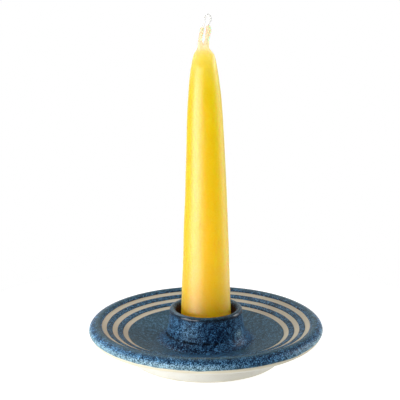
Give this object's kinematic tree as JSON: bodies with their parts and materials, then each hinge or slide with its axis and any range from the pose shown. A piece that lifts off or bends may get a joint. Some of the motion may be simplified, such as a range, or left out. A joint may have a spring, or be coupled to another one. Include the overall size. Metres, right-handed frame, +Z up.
{
  "type": "taper candle in a saucer holder",
  "caption": "Hand-dipped beeswax taper with a looped wick, standing in the socket of a small round stoneware saucer; it lifts straight out.",
  "frame": {"origin": "on the saucer's axis, at the bottom of its foot ring", "axes": "+Z up along the candle; the wick's two legs lie side by side along X; -Y faces the viewer of the picture"},
  "size_m": [0.102, 0.102, 0.1521],
  "materials": {
    "stoneware": "bare fired clay, matt, cream to beige, toasted at the foot's edge",
    "blue_glaze": "glossy speckled blue glaze, dark where it breaks over edges",
    "slate_glaze": "thin satin grey-blue glaze, finely speckled",
    "beeswax": "translucent satin yellow beeswax, faintly streaked",
    "cotton": "bare cotton braid at the loop, wax-soaked below it"
  },
  "bodies": {
    "saucer": {"dish": "stoneware", "candle_cup": "stoneware", "luting_coil": "stoneware", "rim_glaze": "blue_glaze", "outer_band_glaze": "slate_glaze", "inner_band_glaze": "slate_glaze", "well_glaze": "blue_glaze"},
    "candle": {"wax_taper": "beeswax", "wick": "cotton"}
  },
  "joints": [
    {"name": "candle_lift", "type": "slide", "parent": "saucer", "child": "candle", "axis": [0, 0, 1], "range_m": [0, 0.04]}
  ]
}
